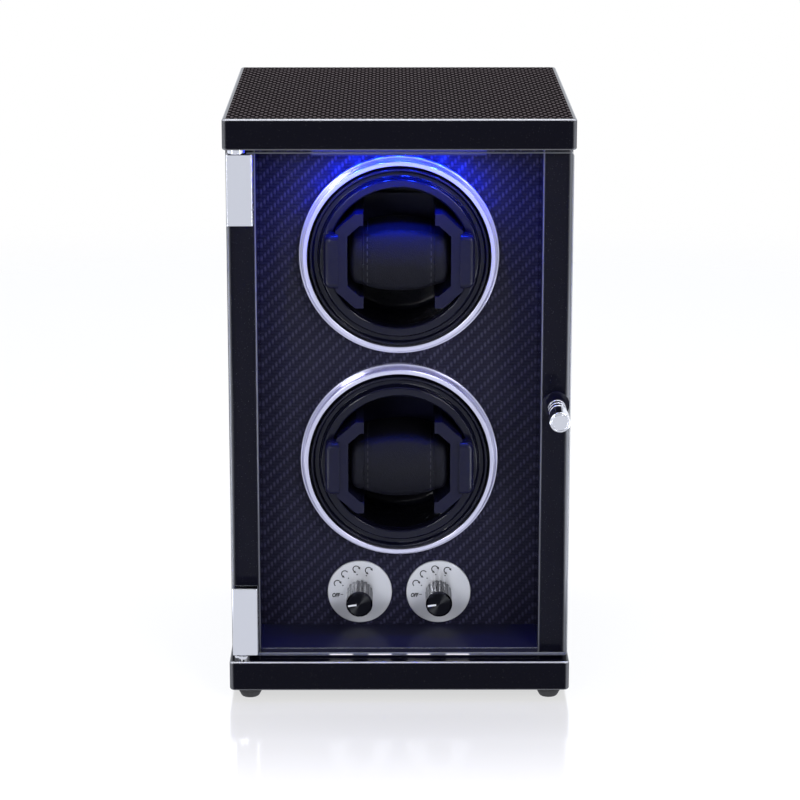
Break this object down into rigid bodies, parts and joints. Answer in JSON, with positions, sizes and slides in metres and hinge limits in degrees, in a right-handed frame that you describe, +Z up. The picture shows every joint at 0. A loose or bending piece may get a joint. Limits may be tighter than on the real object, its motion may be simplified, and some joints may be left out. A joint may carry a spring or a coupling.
{
  "type": "watch winder box",
  "caption": "Upright gloss-black watch winder cabinet with a hinged glass door, turning watch cups in chrome rings, rotary mode selectors and a light strip.",
  "frame": {"origin": "middle of the cabinet's footprint, on the surface it stands on", "axes": "+X to the right, +Y to the back, +Z up; the glass door faces -Y"},
  "size_m": [0.18, 0.228, 0.311],
  "materials": {
    "lacquer": "gloss",
    "carbon_panel": "carbon twill, semi-gloss",
    "carbon_sheet": "carbon weave, semi-gloss",
    "back_board": "matt",
    "rubber": "matt",
    "chrome": "mirror",
    "dial_plate": "polished",
    "dark_chrome": "black chrome",
    "gloss_black": "gloss",
    "cup_black": "satin",
    "cushion_leather": "soft grain",
    "glass": "polished edges",
    "housing_plastic": "matt",
    "belt_rubber": "satin",
    "steel": "plated",
    "bronze": "sintered",
    "light_channel": "black anodised",
    "light_strip": "matt",
    "light_chip": "clear blue",
    "circuit_board": "solder mask",
    "board_black": "matt"
  },
  "bodies": {
    "cabinet": {"top_slab": "lacquer", "top_inlay": "carbon_sheet", "base_slab": "lacquer", "left_wall": "lacquer", "right_wall": "lacquer", "back_panel": "back_board", "back_panel_screws": "steel", "front_panel": "carbon_panel", "floor_board": "lacquer", "feet": "rubber", "foot_screws": "steel", "led_channel": "light_channel", "led_strip": "light_strip", "led_chips": "light_chip", "upper_bezel_ring": "chrome", "lower_bezel_ring": "chrome", "upper_drum_housing": "housing_plastic", "lower_drum_housing": "housing_plastic", "housing_screws": "steel", "shaft_bushes": "bronze", "motor_mounts": "housing_plastic", "upper_gear_motor": "steel", "lower_gear_motor": "steel", "drive_belts": "belt_rubber", "left_selector_plate": "dial_plate", "right_selector_plate": "dial_plate", "left_mode_switch": "steel", "right_mode_switch": "steel", "switch_nuts": "chrome", "control_board": "circuit_board", "board_parts": "board_black", "dc_jack": "housing_plastic", "door_pivots": "chrome", "catch_magnet": "steel"},
    "door": {"door_glass": "glass", "upper_hinge_clamp": "chrome", "lower_hinge_clamp": "chrome", "clamp_screws": "steel", "door_knob": "chrome", "knob_screw": "steel", "strike_plate": "steel"},
    "upper_rotor": {"upper_rotor_rim": "gloss_black", "upper_rotor_cup": "cup_black", "upper_rotor_shaft": "steel", "upper_rotor_pulley": "housing_plastic"},
    "upper_holder": {"upper_watch_tray": "gloss_black", "upper_watch_cushion": "cushion_leather"},
    "upper_motor_drive": {"upper_motor_pulley": "housing_plastic"},
    "lower_rotor": {"lower_rotor_rim": "gloss_black", "lower_rotor_cup": "cup_black", "lower_rotor_shaft": "steel", "lower_rotor_pulley": "housing_plastic"},
    "lower_holder": {"lower_watch_tray": "gloss_black", "lower_watch_cushion": "cushion_leather"},
    "lower_motor_drive": {"lower_motor_pulley": "housing_plastic"},
    "left_selector": {"left_selector_knob": "dark_chrome", "left_switch_shaft": "steel"},
    "right_selector": {"right_selector_knob": "dark_chrome", "right_switch_shaft": "steel"}
  },
  "joints": [
    {"name": "door_hinge", "type": "hinge", "parent": "cabinet", "child": "door", "pos_m": [-0.083, -0.079, 0.1585], "axis": [0, 0, -1], "range_deg": [0, 110]},
    {"name": "upper_rotor_spin", "type": "hinge", "parent": "cabinet", "child": "upper_rotor", "pos_m": [0, -0.032, 0.231], "axis": [0, 1, 0], "continuous": true},
    {"name": "upper_motor_spin", "type": "hinge", "parent": "cabinet", "child": "upper_motor_drive", "pos_m": [0.0359, 0.048, 0.231], "axis": [0, 1, 0], "continuous": true},
    {"name": "upper_holder_pull", "type": "slide", "parent": "upper_rotor", "child": "upper_holder", "axis": [0, -1, 0], "range_m": [0, 0.018]},
    {"name": "lower_rotor_spin", "type": "hinge", "parent": "cabinet", "child": "lower_rotor", "pos_m": [0, -0.032, 0.119], "axis": [0, 1, 0], "continuous": true},
    {"name": "lower_motor_spin", "type": "hinge", "parent": "cabinet", "child": "lower_motor_drive", "pos_m": [0.0359, 0.048, 0.119], "axis": [0, 1, 0], "continuous": true},
    {"name": "lower_holder_pull", "type": "slide", "parent": "lower_rotor", "child": "lower_holder", "axis": [0, -1, 0], "range_m": [0, 0.018]},
    {"name": "left_selector_turn", "type": "hinge", "parent": "cabinet", "child": "left_selector", "pos_m": [-0.0214, -0.032, 0.044], "axis": [0, 1, 0], "range_deg": [0, 120]},
    {"name": "right_selector_turn", "type": "hinge", "parent": "cabinet", "child": "right_selector", "pos_m": [0.0214, -0.032, 0.044], "axis": [0, 1, 0], "range_deg": [0, 120]}
  ],
  "couplings": [
    {"joint": "upper_motor_spin", "follows": "upper_rotor_spin", "ratio": 4},
    {"joint": "lower_motor_spin", "follows": "lower_rotor_spin", "ratio": 4}
  ]
}
